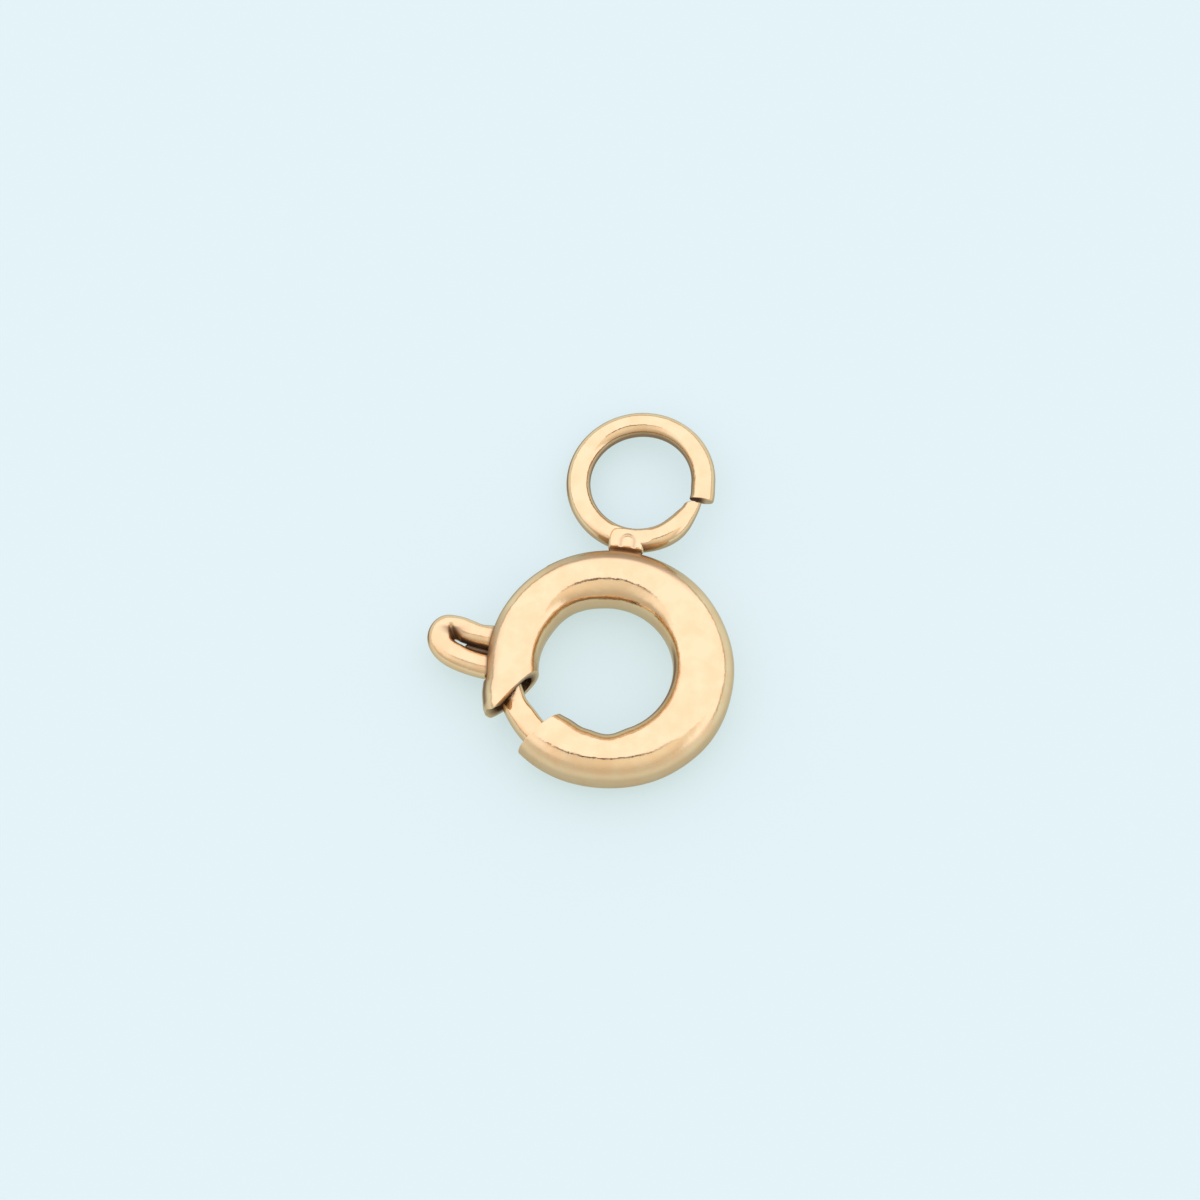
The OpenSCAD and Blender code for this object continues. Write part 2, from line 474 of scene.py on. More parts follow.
def tube_faces(rows):
    """Faces of the tube's outside and bore, of the mouth's two ends and of the slot's four walls."""
    bore_first = rows * TUBE_SIDES
    slot_columns = 2 * SLOT_BAND
    faces = []

    def add_wall(a, b):
        faces.append((a, b, bore_first + b, bore_first + a))

    for row in range(rows - 1):
        for column in range(TUBE_SIDES):
            if SLOT_ROWS[0] <= row < SLOT_ROWS[1] and column < slot_columns:
                continue
            a, b = row * TUBE_SIDES + column, row * TUBE_SIDES + (column + 1) % TUBE_SIDES
            c, d = b + TUBE_SIDES, a + TUBE_SIDES
            faces.append((a, d, c, b))
            faces.append(tuple(bore_first + n for n in (a, b, c, d)))
    for first in (0, bore_first - TUBE_SIDES):
        for column in range(TUBE_SIDES):
            add_wall(first + column, first + (column + 1) % TUBE_SIDES)
    for row in SLOT_ROWS:
        for column in range(slot_columns):
            add_wall(row * TUBE_SIDES + column, row * TUBE_SIDES + column + 1)
    for column in (0, slot_columns):
        for row in range(*SLOT_ROWS):
            add_wall(row * TUBE_SIDES + column, (row + 1) * TUBE_SIDES + column)
    return faces


def bevelled_piece(name, points, faces):
    """A smooth object from points in millimetres, with its sharp edges rounded."""
    work = bmesh.new()
    made = [work.verts.new(point) for point in points]
    for face in faces:
        work.faces.new([made[n] for n in face])
    bmesh.ops.recalc_face_normals(work, faces=work.faces)
    work.edges.ensure_lookup_table()
    least = math.radians(SHARP_ANGLE)
    sharp = [edge for edge in work.edges if edge.is_manifold and edge.calc_face_angle() > least]
    bmesh.ops.bevel(
        work, geom=sharp, offset=TUBE_BEVEL, segments=3, profile=0.5, affect="EDGES", clamp_overlap=True,
    )
    bmesh.ops.scale(work, vec=(0.001, 0.001, 0.001), verts=work.verts)
    mesh = bpy.data.meshes.new(name)
    work.to_mesh(mesh)
    work.free()
    shade_smooth(mesh)
    return new_object(name, mesh)


class OnTube:
    """Where a piece's points lie: their angle round the ring, which runs on past 180 to the upper mouth,
    their place across the tube from -1 at the hole to 1 at the outline, and how far up they face."""

    def __init__(self, piece):
        x, self.y, self.z = points_of(piece).T
        angle = np.degrees(np.arctan2(self.y, x))
        self.angle = np.where(angle < -140, angle + 360, angle)
        edge, hole = outer_edge(self.angle), hole_edge(self.angle)
        self.out = (np.hypot(x, self.y) - (edge + hole) / 2) / ((edge - hole) / 2)
        self.up = normals_of(piece)[:, 2]


def bore_shade(at):
    """Painted shade in the bore and on the mouth's faces next to it, reaching a little further out on top.
    """
    from_middle = np.hypot(at.out, at.z / TUBE_R) - 0.1 * smooth(at.z, 0.25, 0.45)
    return 1 - smooth(from_middle, 0.73, 0.86)


def slot_shade(at):
    """Painted shade on the slot's walls, lighter by its lip."""
    along = (at.angle > SLOT_START - 1) & (at.angle < SLOT_END + 2)
    inside = (at.out > 0.4) & (np.abs(at.z) < SLOT_HALF_H + 0.03) & along
    return inside * (1 - 0.45 * smooth(at.out, 0.72, 0.86))


def trigger_shade(at):
    """Painted shade beside the slot by the trigger, less of it further up and down."""
    off = np.abs(at.z)
    share = 0.8 - 0.3 * smooth(off, 0.36, 0.44) - 0.5 * smooth(off, 0.46, 0.66)
    return share * bump_at(at.angle, 172, 24) ** 0.4 * (at.out > 0.3)


def neck_shade(at):
    """Painted shade on the ring's outer side by the neck, darkest at the outline."""
    share = 0.54 - 0.14 * smooth(at.out, 0.7, 0.85) + 0.25 * smooth(at.out, 0.87, 0.96)
    return share * bump_at(at.angle, 83, 48) ** 0.5 * smooth(at.out, 0.41, 0.5)


def rim_shade(at):
    """A line of painted shade under the hole's near rim."""
    share = 0.5 + 0.2 * smooth(-at.y, 0.2, 1.2)
    under = smooth(at.up, 0.08, 0.34) * (1 - smooth(at.up, 0.45, 0.72))
    return share * under * smooth(-at.y, *NEAR_RIM) * (at.out < 0)


def tube_flanks(at):
    """The thin painted shade on the tube's flanks, with more of it on the near side and less by the mouth.
    """
    by_hole = HOLE_SHADE + 0.4 * smooth(-at.y, 0.4, 1.3) - 0.15 * smooth(at.angle, 179, 186)
    outside = FLANK_SHADE + 0.12 * smooth(-at.y, 0.6, 1.8) + 0.2 * bump_at(at.angle, 140, 60)
    return np.where(at.out < 0, by_hole, outside)


def tube_wear(at):
    """The dull patches on the near side's outer flank and on the hole's near rim."""
    flank = (1 - smooth(at.up, 0.68, 0.84)) * smooth(-at.y, 0.8, 1.8) * (at.out > 0)
    rim = 0.6 * (1 - smooth(at.up, 0.78, 0.92)) * smooth(-at.y, *NEAR_RIM) * (at.out < 0)
    return flank + rim


def ring_tube():
    """The hollow tube bent to a ring, with its mouth, its thumb slot and rounded edges."""
    outer, bore = tube_grid(False), tube_grid(True)
    points = np.concatenate([outer.reshape(-1, 3), bore.reshape(-1, 3)])
    piece = bevelled_piece("ring_tube", points, tube_faces(len(outer)))
    at = OnTube(piece)
    # Shade is painted into the bore and the slot, beside the trigger, by the neck, under the hole's near
    # rim and on the flanks.
    crevices = [bore_shade(at), slot_shade(at), trigger_shade(at), neck_shade(at), rim_shade(at)]
    paint_shade_and_wear(piece, np.maximum.reduce(crevices), tube_flanks(at), tube_wear(at))
    return piece


# Bolt

def bolt_rod():
    """The bolt's curved rod, from the end that the spring pushes on to its rounded tip. It is slimmer
    inside the tube, and its section is a little square, as worn wire is."""
    angles = np.linspace(BOLT_START, BOLT_TIP, 90)
    slim = BOLT_SLIM * (1 - smooth(angles, *BOLT_SLIM_TO))
    radius = BOLT_R * (1 - 0.25 * smooth(angles, BOLT_TIP - 3.5, BOLT_TIP)) - slim

    def flatten(grid, path, side, rise, turn):
        return rings_about(path, side, rise, radius, *squarish(turn, BOLT_ROUNDNESS))

    path = on_arc(1.0, angles) * (BOLT_CURVE_R + slim)[:, None]
    piece = swept("bolt_rod", path, radius, reach=0.35, shape=flatten)
    x, y, _ = points_of(piece).T
    angle = np.degrees(np.arctan2(y, x)) % 360
    # Shade is painted on the bolt inside the mouth, and the bolt is dull there.
    paint_shade_and_wear(piece, 1 - smooth(angle, *BOLT_SHADE_TO), wear=0.7 * (1 - smooth(angle, *BOLT_DULL_TO)))
    return piece


# Thumb trigger

# The hairpin's middle line in X and Y: out along the lower leg, round the bend and back along the other
TRIGGER_LINE = (
    (-2.36, 0.05), (-2.61, 0.05), (-2.92, 0.08), (-3.10, 0.12), (-3.35, 0.20), (-3.57, 0.29),
    (-3.77, 0.40), (-3.93, 0.54), (-4.02, 0.69), (-4.04, 0.83), (-4.00, 0.96), (-3.92, 1.05),
    (-3.80, 1.09), (-3.57, 1.06), (-3.36, 0.98), (-3.12, 0.875), (-2.89, 0.825), (-2.61, 0.78),
    (-2.26, 0.76),
)
# The fold in the bend's upper side, from its outer end to its end by the slit. Along Y it gets shallow
# towards its outer end. Shade is painted in it and round it.
FOLD_LINE = ((-3.775, 1.04), (-3.735, 0.93), (-3.66, 0.82), (-3.56, 0.71))
FOLD_WIDTH = 0.065
FOLD_DEPTH = 0.2
FOLD_SHALLOW = (0.84, 1.1)
FOLD_SHADE_SHARE = 0.8
# The slit's start, how much the pinch draws the wire in towards it, and how far around
SLIT_START = (-3.53, 0.66)
PINCH = 0.38
PINCH_WIDTH = 0.24
# The slit between the hairpin's legs, and how wide and how high up its painted shade reaches
SLIT_LINE = ((-3.52, 0.68), (-3.36, 0.6), (-3.1, 0.5), (-2.85, 0.45), (-2.6, 0.45))
SLIT_WIDTH = (0.04, 0.2)
SLIT_TOP = (0.14, 0.27)
# The distance from the ring's centre where the trigger comes out of the slot, within which shade is
# painted on it
AT_SLOT = (2.86, 3.0)
# The solder between the legs, its height and its radius
TRIGGER_SOLDER = ((-3.36, 0.6), (-3.1, 0.52), (-2.85, 0.46), (-2.6, 0.45))
TRIGGER_SOLDER_Z = -0.1
TRIGGER_SOLDER_R = 0.085


def trigger_wire():
    """The hairpin before it is pinched, in even faces. Its upper leg is a little slimmer, and thickens
    again where it goes into the tube."""
    line = curve_through(TRIGGER_LINE, 12)
    path = np.concatenate([line, np.zeros((len(line), 1))], axis=1)
    share = np.linspace(0, 1, len(path))
    radius = TRIGGER_R - 0.02 * smooth(share, 0.62, 0.72) + 0.03 * smooth(share, 0.86, 0.93)
    piece = swept("thumb_trigger", path, radius, sides=64)
    make_even(piece, size=0.022, rounds=4)
    return piece


def thumb_trigger():
    """The hairpin of wire that the thumb draws back, with a fold where its bend was pinched. Shade is
    painted in and round the fold, in the slit and inside the slot.
    """
    piece = trigger_wire()
    points = points_of(piece)
    off = distance_to_line(points[:, :2], FOLD_LINE)
    on_top = smooth(points[:, 2], 0.0, 0.15)
    deep = 1 - smooth(points[:, 1], *FOLD_SHALLOW)
    fold = np.exp(-(off / FOLD_WIDTH) ** 2) * on_top * (0.25 + 0.75 * deep)
    shade_round_fold_width = 0.12 + 0.08 * smooth(points[:, 1], 0.78, 0.92)
    shade_round_fold = FOLD_SHADE_SHARE * np.exp(-(off / shade_round_fold_width) ** 2) * on_top * smooth(deep, 0.0, 0.4)
    to_slit = np.array(SLIT_START) - points[:, :2]
    pinch = PINCH * np.exp(-((to_slit ** 2).sum(1) / PINCH_WIDTH ** 2))
    points[:, 2] -= FOLD_DEPTH * fold
    points[:, :2] += pinch[:, None] * to_slit
    piece.data.vertices.foreach_set("co", mm(points).ravel())
    piece.data.update()

    # The painted shade: in and round the fold, in the slit and inside the slot.
    off_slit = distance_to_line(points[:, :2], SLIT_LINE)
    in_slit = (1 - smooth(off_slit, *SLIT_WIDTH)) ** 1.5 * (1 - smooth(points[:, 2], *SLIT_TOP))
    in_slot = 1 - smooth(np.hypot(points[:, 0], points[:, 1]), *AT_SLOT)
    paint_shade_and_wear(piece, np.maximum.reduce([fold, shade_round_fold, in_slit, in_slot]), FLANK_SHADE, 0.6)
    return piece


def trigger_solder():
    """The strip of solder that fills the bottom of the slit between the trigger's legs, painted with
    shade.
    """
    line = curve_through(TRIGGER_SOLDER, 8)
    path = np.concatenate([line, np.full((len(line), 1), TRIGGER_SOLDER_Z)], axis=1)
    piece = swept("trigger_solder", path, TRIGGER_SOLDER_R, sides=24)
    paint_shade_and_wear(piece, 0.85)
    return piece


# Eye ring

def eye_frame(points):
    """Moves points from the eye's own plane to its place over the ring."""
    cp, sp = math.cos(EYE_PITCH), math.sin(EYE_PITCH)
    cr, sr = math.cos(EYE_ROLL), math.sin(EYE_ROLL)
    pitch = np.array([[1, 0, 0], [0, cp, -sp], [0, sp, cp]])
    roll = np.array([[cr, 0, sr], [0, 1, 0], [-sr, 0, cr]])
    return np.asarray(points) @ (roll @ pitch).T + EYE_CENTRE


def eye_shade(piece, neck):
    """The eye's painted shade: on its faces at the gap, on the wire by the neck, under the hole's rim and
    on its flanks, more on the inner ones. The face at the eye's start has painted shade on its inner side
    alone."""
    x, y, _ = (points_of(piece) - EYE_CENTRE).T
    angle = np.degrees(np.arctan2(y, x)) % 360
    out = (np.hypot(x, y) - EYE_R) / EYE_WIRE_R
    face_points = (len(CUT_RINGS) - 1) * EYE_SIDES
    at_gap = np.zeros(len(x))
    at_gap[:face_points] = 1 - smooth(x[:face_points], 1.4, 1.7)
    at_gap[-face_points:] = 1
    by_neck = 0.6 * bump_at(angle, neck, 34) ** 0.7 * smooth(out, 0.45, 0.8)
    rim = (0.45 + 0.35 * smooth(-y, 0.2, 0.9)) * (1 - smooth(normals_of(piece)[:, 2], 0.45, 0.72))
    flanks = np.where(out < 0, 0.75, 0.45)
    return np.maximum.reduce([at_gap, by_neck, rim * (out < 0)]), flanks


def eye_ring():
    """The open eye. Its start, beyond the gap, is cut almost square. Its other end is pinched in, filed
    thinner and cut aslant. The wire is pressed flat over the neck."""
    angles = np.linspace(EYE_START, EYE_FINISH, EYE_SECTIONS)
    at_start = 1 - smooth(angles, -18, -8)
    radius = EYE_R + 0.03 * bump_at(angles, 262, 60) - 0.11 * smooth(angles, 288, 336)
    radius = radius + 0.045 * (1 - smooth(angles, -20, -4))
    wire = EYE_WIRE_R - 0.11 * smooth(angles, 300, 340)
    neck = math.degrees(math.atan2(EYE_CENTRE[1], EYE_CENTRE[0])) + 180
    limit = EYE_WIRE_R - EYE_PRESS * (1 - smooth(np.abs(angles - neck), 15, 22))
    slant = 0.5 * smooth(angles, 318, 331) + 0.11 * at_start
    lean = -0.17 * at_start

    def press(grid, path, side, rise, turn):
        grid[..., 2] = np.clip(grid[..., 2], -limit[:, None], limit[:, None])
        outward = -((grid - path[:, None]) * side[:, None]).sum(-1)
        tangent = np.cross(side, rise)
        ahead = slant[:, None] * outward + lean[:, None] * grid[..., 2]
        return eye_frame(grid + ahead[..., None] * tangent[:, None])

    path = on_arc(1.0, angles) * radius[:, None]
    piece = swept("eye_ring", path, wire, sides=EYE_SIDES, domed=False, shape=press)
    # Shade is painted on the eye's faces at the gap, by the neck, under the hole's rim and on its flanks.
    paint_shade_and_wear(piece, *eye_shade(piece, neck))
    return piece


# Solder neck

# The solder from the ring out over the eye's wire: distance from the ring's centre, half width and half
# thickness
SOLDER = (
    (2.86, 0.44, 0.11), (2.93, 0.41, 0.115), (2.985, 0.395, 0.13), (3.02, 0.4, 0.17),
    (3.05, 0.415, 0.225), (3.09, 0.43, 0.252), (3.18, 0.45, 0.264), (3.29, 0.46, 0.266),
    (3.37, 0.46, 0.258), (3.44, 0.45, 0.244), (3.50, 0.43, 0.226), (3.535, 0.40, 0.205),
    (3.56, 0.35, 0.16),
)
SOLDER_ANGLE = 82.5
SOLDER_CORNER = 0.16
SOLDER_DOME = 0.05
SOLDER_TOP_POINTS = 81
# Where the neck below the pad ends, and the share of painted shade on it
NECK_TO = (3.02, 3.07)
NECK_SHADE_SHARE = 0.6
# The tool's arched mark on the pad: where its legs start, and its place across, half width and length
MARK_START = 3.07
MARK_FADE = (3.05, 3.09)
MARK_MIDDLE = 0.03
MARK_HALF_W = 0.16
MARK_LENGTH = 0.3
MARK_DEPTH = 0.03
MARK_LINE_W = 0.042
# The share of painted shade in the mark's groove
MARK_SHADE_SHARE = 0.3


def rounded_box(half_w, half_t):
    """Points round a box section with rounded corners, close together along its top."""
    corner = min(SOLDER_CORNER, 0.9 * half_t)
    turn = np.radians(np.linspace(0, 90, 7))
    middle = (half_w - corner, half_t - corner)
    quarter = corner * np.stack([np.cos(turn), np.sin(turn)], axis=-1) + middle
    across = np.linspace(1, -1, SOLDER_TOP_POINTS + 2)[1:-1] * (half_w - corner)
    top = np.stack([across, np.full(SOLDER_TOP_POINTS, half_t)], axis=-1)
    upper = np.concatenate([quarter, top, quarter[::-1] * (-1, 1)])
    lower = np.concatenate([quarter * (-1, -1), top[::-8] * (1, -1), quarter[::-1] * (1, -1)])
    return np.concatenate([upper, lower])


def arch_line(across, reach):
    """How deep the arched mark's line is pressed at points across the pad, as a share."""
    bend_start = MARK_START + MARK_LENGTH - MARK_HALF_W
    from_middle = np.hypot(across - MARK_MIDDLE, np.maximum(reach - bend_start, 0))
    return np.exp(-((from_middle - MARK_HALF_W) / MARK_LINE_W) ** 2) * smooth(reach, *MARK_FADE)


def solder_neck():
    """The solder between the ring and the eye, pressed flat over the eye's wire, with the tool's mark.
    Shade is painted on the neck below the pad and in the mark's groove.
    """
    angle = math.radians(SOLDER_ANGLE)
    out = np.array([math.cos(angle), math.sin(angle), 0])
    right = np.array([math.sin(angle), -math.cos(angle), 0])
    lift = np.array([0, 0, 1])
    sections = []
    painted_shade = []
    for reach, half_w, half_t in curve_through(SOLDER, 8):
        across, height = rounded_box(half_w, half_t).T
        line = arch_line(across, reach) * (height > 0.9 * half_t)
        dome = SOLDER_DOME * np.sign(height) * (across / half_w) ** 2
        height = height - MARK_DEPTH * line - dome
        sections.append(out * reach + across[:, None] * right + height[:, None] * lift)
        painted_shade.append(np.maximum(MARK_SHADE_SHARE * line, NECK_SHADE_SHARE * (1 - smooth(reach, *NECK_TO))))
    piece = closed_piece("solder_neck", np.array(sections))
    paint_shade_and_wear(piece, np.concatenate(painted_shade))
    return piece


# Return spring

def return_coil():
    """The coil spring that lies in the bore."""
    share = np.linspace(0, 1, COIL_TURNS * COIL_STEPS + 1)
    turn = 2 * math.pi * COIL_TURNS * share
    angles = COIL_START + (COIL_END - COIL_START) * share
    path = on_arc(1.0, angles) * (RING_R + COIL_R * np.cos(turn))[:, None]
    path[:, 2] = COIL_R * np.sin(turn)
    tangent = unit_rows(np.gradient(path, axis=0))
    side = path - on_arc(RING_R, angles)
    side = unit_rows(side - (side * tangent).sum(1)[:, None] * tangent)
    rise = np.cross(tangent, side)
    around = np.linspace(0, 2 * math.pi, COIL_SIDES, endpoint=False)
    size = np.full(len(path), COIL_WIRE_R)
    return closed_piece("return_coil", rings_about(path, side, rise, size, np.cos(around), np.sin(around)))


# Nodes

def math_node(tree, operation, first, second=None):
    """A math node on sockets or numbers."""
    node = tree.nodes.new("ShaderNodeMath")
    node.operation = operation
    for socket, value in zip(node.inputs, (first, second)):
        if isinstance(value, (int, float)):
            socket.default_value = value
        elif value is not None:
            tree.links.new(value, socket)
    return node.outputs[0]


def fade_node(tree, value, pair, name):
    """A node that rises from 0 to 1 as a value goes through a pair."""
    node = tree.nodes.new("ShaderNodeMapRange")
    node.name = name
    node.interpolation_type = "SMOOTHSTEP"
    node.inputs["From Min"].default_value = pair[0]
    node.inputs["From Max"].default_value = pair[1]
    tree.links.new(value, node.inputs["Value"])
    return node.outputs["Result"]


def noise_node(tree, vector, scale, detail):
    """A noise texture's value."""
    noise = tree.nodes.new("ShaderNodeTexNoise")
    noise.inputs["Scale"].default_value = scale
    noise.inputs["Detail"].default_value = detail
    tree.links.new(vector, noise.inputs["Vector"])
    return noise.outputs["Fac"]


def attribute_node(tree, name):
    """The share that a piece's points store under a name."""
    node = tree.nodes.new("ShaderNodeAttribute")
    node.attribute_name = name
    return node.outputs["Fac"]


def bump_node(tree, height, depth, normal=None):
    """A bump of a depth in millimetres, over another bump where there is one."""
    bump = tree.nodes.new("ShaderNodeBump")
    bump.inputs["Strength"].default_value = 1.0
    bump.inputs["Distance"].default_value = mm(depth)
    tree.links.new(height, bump.inputs["Height"])
    if normal is not None:
        tree.links.new(normal, bump.inputs["Normal"])
    return bump.outputs["Normal"]


# Materials

# The metals' colours, and the colours that they take on where they are seen at a glancing angle
CASE_COLOUR = (0.93, 0.65, 0.385)
BOLT_COLOUR = (0.93, 0.64, 0.375)
GOLD_EDGE = (0.8, 0.78, 0.7)
STEEL_COLOUR = (0.55, 0.56, 0.55)
STEEL_EDGE = (0.9, 0.9, 0.9)
# The colour of the painted shade, and how rough the painted shade and the worn patches are
SHADE_COLOUR = (0.16, 0.09, 0.055, 1)
SHADE_ROUGHNESS = 0.7
WORN_ROUGHNESS = 0.36
# The blotchy tone: its limits in the noise, and what it does to the green and blue at each limit
TONE_LIMITS = (0.36, 0.62)
TONE_LOW = (0.945, 0.88)
TONE_HIGH = (1.03, 1.01)
# How much the gloss varies, as shares of the roughness
GLOSS_LIMITS = (0.3, 0.7)
GLOSS_SHARES = (0.7, 1.5)
# The noises' scales in features a metre, and the bumps' depths in millimetres
TONE_SCALE = 2200
GLOSS_SCALE = 5000
DENT_SCALE = 1500
DENT_DEPTH = 0.016
GRAIN_SCALE = 9000
GRAIN_DEPTH = 0.003
SCRATCH_SCALE = 40000
SCRATCH_DEPTH = 0.0008
SCRATCH_STRETCH = (1.0, 0.12, 1.0)
SCRATCH_TURN = (0.3, 0.2, 0.9)
# The floor: half its side in millimetres, its colour, and the colour and strength of its own light
FLOOR_HALF = 600
FLOOR_COLOUR = (0.29, 0.277, 0.29, 1)
FLOOR_GLOW = (0.78, 1.0, 1.0, 1)
FLOOR_GLOW_LEVEL = 0.59


def new_material(name):
    """A new material, its node tree and its shader."""
    material = bpy.data.materials.new(name)
    material.use_nodes = True
    tree = material.node_tree
    return material, tree, tree.nodes["Principled BSDF"]


def metal_tone(tree, place, colour, painted_shade):
    """The metal's blotchy colour, with the painted shade over it."""
    red, green, blue = colour
    ramp = tree.nodes.new("ShaderNodeValToRGB")
    for end, position, tone in zip(ramp.color_ramp.elements, TONE_LIMITS, (TONE_LOW, TONE_HIGH)):
        end.position = position
        end.color = (red, green * tone[0], blue * tone[1], 1)
    tree.links.new(noise_node(tree, place, TONE_SCALE, 4), ramp.inputs["Fac"])
    shaded = tree.nodes.new("ShaderNodeMix")
    shaded.data_type = "RGBA"
    tree.links.new(painted_shade, shaded.inputs["Factor"])
    tree.links.new(ramp.outputs["Color"], shaded.inputs["A"])
    shaded.inputs["B"].default_value = SHADE_COLOUR
    return shaded.outputs["Result"]


def metal_gloss(tree, place, roughness, painted_shade):
    """The metal's uneven roughness, which is higher where shade is painted and on worn patches."""
    gloss = tree.nodes.new("ShaderNodeMapRange")
    gloss.inputs["From Min"].default_value = GLOSS_LIMITS[0]
    gloss.inputs["From Max"].default_value = GLOSS_LIMITS[1]
    gloss.inputs["To Min"].default_value = roughness * GLOSS_SHARES[0]
    gloss.inputs["To Max"].default_value = roughness * GLOSS_SHARES[1]
    tree.links.new(noise_node(tree, place, GLOSS_SCALE, 3), gloss.inputs["Value"])
    rough_in_shade = math_node(tree, "MULTIPLY", painted_shade, SHADE_ROUGHNESS)
    worn = math_node(tree, "MULTIPLY", attribute_node(tree, "wear"), WORN_ROUGHNESS)
    return math_node(tree, "MAXIMUM", gloss.outputs["Result"], math_node(tree, "MAXIMUM", rough_in_shade, worn))


def metal_relief(tree, place, scratches):
    """Faint dents, a fine grain and handling scratches, the last two as deep as scratches says."""
    dents = bump_node(tree, noise_node(tree, place, DENT_SCALE, 2), DENT_DEPTH)
    grain_height = noise_node(tree, place, GRAIN_SCALE, 3)
    grain = bump_node(tree, grain_height, GRAIN_DEPTH * scratches, dents)
    stretch = tree.nodes.new("ShaderNodeMapping")
    stretch.inputs["Scale"].default_value = SCRATCH_STRETCH
    stretch.inputs["Rotation"].default_value = SCRATCH_TURN
    tree.links.new(place, stretch.inputs["Vector"])
    scratch_height = noise_node(tree, stretch.outputs["Vector"], SCRATCH_SCALE, 2)
    return bump_node(tree, scratch_height, SCRATCH_DEPTH * scratches, grain)


def metal_material(name, colour, edge, roughness, scratches):
    """Polished metal, with shade painted in its crevices and on its flanks."""
    material, tree, shader = new_material(name)
    shader.inputs["Metallic"].default_value = 1.0
    shader.inputs["Specular Tint"].default_value = (*edge, 1)
    place = tree.nodes.new("ShaderNodeTexCoord").outputs["Object"]
    painted_shade = attribute_node(tree, "painted_shade")
    tree.links.new(metal_tone(tree, place, colour, painted_shade), shader.inputs["Base Color"])
    tree.links.new(metal_gloss(tree, place, roughness, painted_shade), shader.inputs["Roughness"])
    tree.links.new(metal_relief(tree, place, scratches), shader.inputs["Normal"])
    return material


def floor_material():
    """The matt pale-blue floor, which is lit from below as well."""
    material, tree, shader = new_material("pale_floor")
    shader.inputs["Roughness"].default_value = 0.9
    shader.inputs["Specular IOR Level"].default_value = 0.1
    shader.inputs["Base Color"].default_value = FLOOR_COLOUR
    shader.inputs["Emission Color"].default_value = FLOOR_GLOW
    shader.inputs["Emission Strength"].default_value = FLOOR_GLOW_LEVEL
    return material


# Stage

def floor():
    """The plain floor that the ring lies on."""
    half = mm(FLOOR_HALF)
    z = mm(-TUBE_R)
    corners = [(-half, -half, z), (half, -half, z), (half, half, z), (-half, half, z)]
    mesh = bpy.data.meshes.new("floor")
    mesh.from_pydata(corners, [], [(0, 1, 2, 3)])
    piece = new_object("floor", mesh)
    piece.data.materials.append(floor_material())


def box_light(tree, x, z, along, across):
    """The share of white light from each direction: the box overhead, the panel and the glow."""
    front = fade_node(tree, along, BOX_FRONT, "front_edge")
    back = fade_node(tree, along, BOX_BACK, "back_edge")
    sides = fade_node(tree, math_node(tree, "ABSOLUTE", across), BOX_SIDES, "side_edges")
    inside = math_node(tree, "SUBTRACT", 1.0, math_node(tree, "MAXIMUM", back, sides))
    right = fade_node(tree, x, PANEL_SIDE, "panel_side")
    above = fade_node(tree, z, PANEL_FOOT, "panel_foot")
    panel = math_node(tree, "MULTIPLY", right, above)
    left = fade_node(tree, math_node(tree, "MULTIPLY", x, -1.0), GLOW_SIDE, "glow_side")
    deep = fade_node(tree, along, GLOW_DEPTH, "glow_depth")
    glow = math_node(tree, "MULTIPLY", math_node(tree, "MULTIPLY", left, deep), GLOW_LEVEL)
    box = math_node(tree, "MAXIMUM", math_node(tree, "MULTIPLY", front, inside), panel)
    return math_node(tree, "MAXIMUM", box, math_node(tree, "MULTIPLY", glow, inside))


def room_light(tree, x, z):
    """The dim room's light, which is weaker near the floor and to the left."""
    rightward = fade_node(tree, x, ROOM_ACROSS, "left_to_right")
    high = fade_node(tree, z, ROOM_HEIGHT, "room_height")
    level = math_node(tree, "MULTIPLY", rightward, ROOM_RIGHT - ROOM_LEFT)
    level = math_node(tree, "ADD", ROOM_LEFT, level)
    level = math_node(tree, "MULTIPLY", high, math_node(tree, "SUBTRACT", level, ROOM_LOW))
    return math_node(tree, "ADD", ROOM_LOW, level)


def line_shade(tree, along, across):
    """The dark line in front of the box, as the share of light that it lets through."""
    off_middle = math_node(tree, "ABSOLUTE", math_node(tree, "ADD", across, LINE_SIDE))
    off_line = math_node(tree, "ABSOLUTE", math_node(tree, "SUBTRACT", along, LINE_ALONG))
    beside = fade_node(tree, off_middle, LINE_ACROSS, "line_sides")
    beyond = fade_node(tree, off_line, LINE_DEPTH, "line_edges")
    clear = math_node(tree, "MULTIPLY", math_node(tree, "MAXIMUM", beside, beyond), 1 - LINE_LEVEL)
    return math_node(tree, "ADD", LINE_LEVEL, clear)


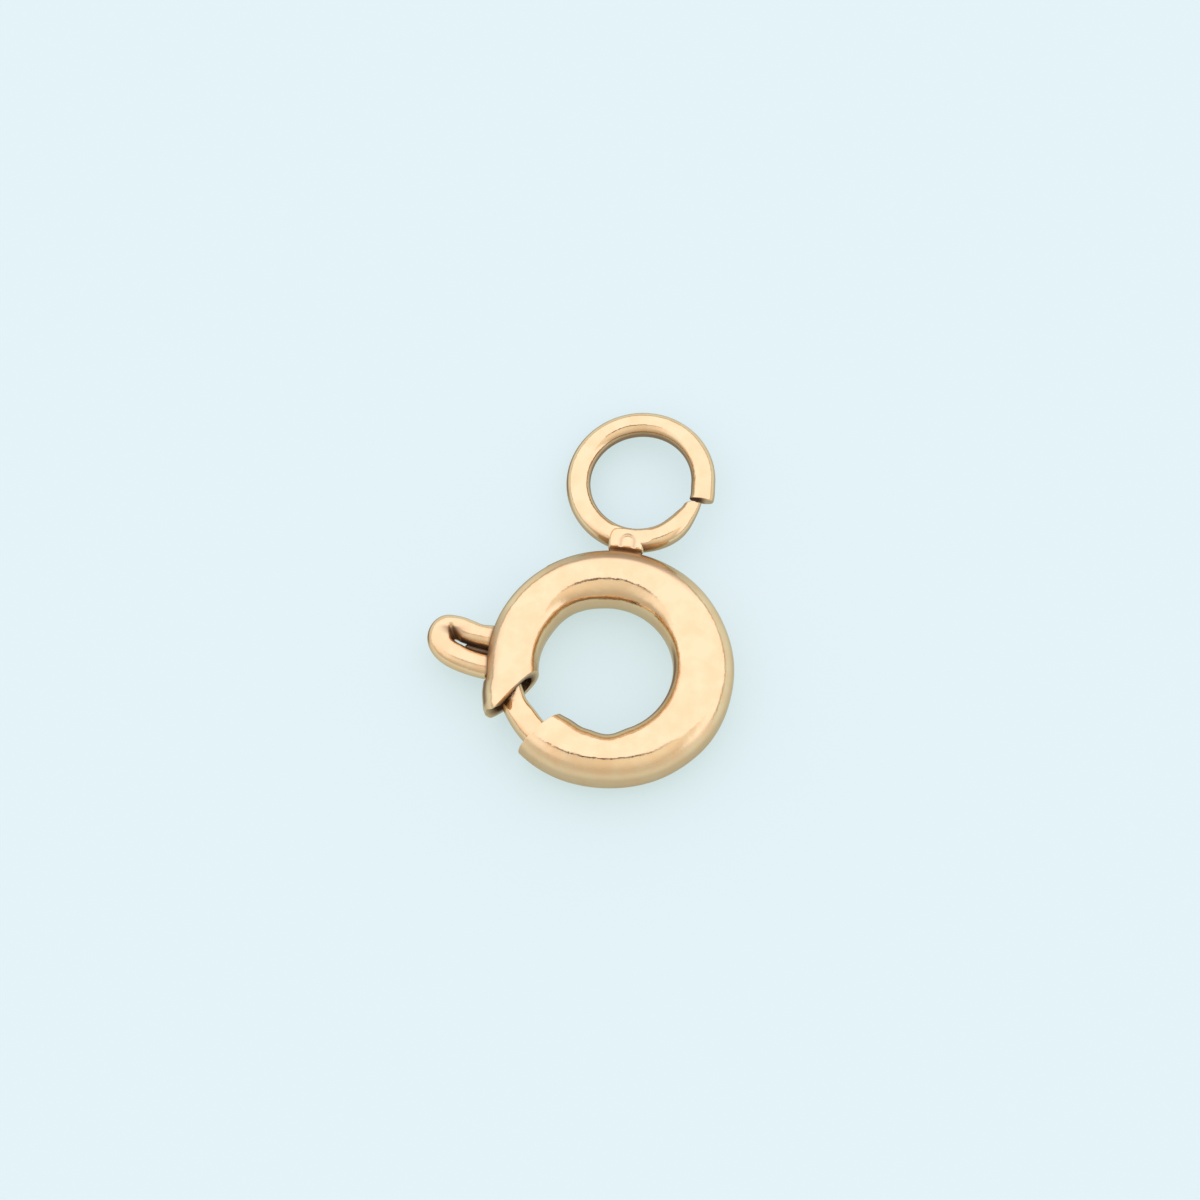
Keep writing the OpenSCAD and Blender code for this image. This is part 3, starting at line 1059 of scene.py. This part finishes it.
def studio():
    """A wide soft box overhead whose front edge is by the camera, a dark line in front of it, and a dim
    warm room."""
    world = bpy.data.worlds.new("surround")
    bpy.context.scene.world = world
    world.use_nodes = True
    tree = world.node_tree
    split = tree.nodes.new("ShaderNodeSeparateXYZ")
    tree.links.new(tree.nodes.new("ShaderNodeTexCoord").outputs["Generated"], split.inputs[0])
    x, y, z = split.outputs
    height = math_node(tree, "MAXIMUM", z, LEAST_CLIMB)
    across = math_node(tree, "DIVIDE", x, height)
    along = math_node(tree, "DIVIDE", y, height)

    box = box_light(tree, x, z, along, across)
    room = room_light(tree, x, z)
    lit = math_node(tree, "MULTIPLY", box, math_node(tree, "SUBTRACT", BOX_LEVEL, room))
    shade = line_shade(tree, along, across)
    level = math_node(tree, "MULTIPLY", shade, math_node(tree, "ADD", room, lit))
    hue = tree.nodes.new("ShaderNodeValToRGB")
    dim, bright = hue.color_ramp.elements
    dim.color = (*ROOM_COLOUR, 1)
    bright.color = (*BOX_COLOUR, 1)
    tree.links.new(box, hue.inputs["Fac"])
    sky = tree.nodes["Background"]
    tree.links.new(hue.outputs["Color"], sky.inputs["Color"])
    tree.links.new(level, sky.inputs["Strength"])


def camera():
    """The camera at the photograph's angle, far off and with a long lens."""
    data = bpy.data.cameras.new("camera")
    data.sensor_width = SENSOR_W
    data.lens = SENSOR_W * VIEW_DISTANCE / (PHOTO_SIDE_PX / PX_PER_MM)
    data.clip_start = 0.01
    data.clip_end = 10
    eye = new_object("camera", data)
    tilt = math.radians(VIEW_ELEVATION)
    back = Vector((0, -math.cos(tilt), math.sin(tilt))) * mm(VIEW_DISTANCE)
    eye.location = Vector(VIEW_TARGET) * 0.001 + back
    eye.rotation_euler = (math.radians(90 - VIEW_ELEVATION), 0, 0)
    bpy.context.scene.camera = eye


# Assembly

def dress(piece, body, node, material):
    """Gives a piece its body and its material, and hides the node that it stands for."""
    piece.data.materials.clear()
    piece.data.materials.append(material)
    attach(piece, body)
    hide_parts(node)


def main():
    camera()
    studio()
    floor()
    case_gold = metal_material("case_gold", CASE_COLOUR, GOLD_EDGE, roughness=0.1, scratches=1.0)
    bolt_gold = metal_material("bolt_gold", BOLT_COLOUR, GOLD_EDGE, roughness=0.11, scratches=1.4)
    steel = metal_material("spring_steel", STEEL_COLOUR, STEEL_EDGE, roughness=0.25, scratches=2.0)

    dress(ring_tube(), "case", "ring_case", case_gold)
    dress(eye_ring(), "case", "ring_case", case_gold)
    dress(solder_neck(), "case", "ring_case", case_gold)
    dress(bolt_rod(), "bolt", "bolt", bolt_gold)
    dress(thumb_trigger(), "bolt", "bolt", bolt_gold)
    dress(trigger_solder(), "bolt", "bolt", bolt_gold)

    coil = return_coil()
    coil.data.materials.append(steel)
    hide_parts("return_spring")
    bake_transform(coil)

    bpy.context.scene.view_settings.view_transform = "Standard"


main()
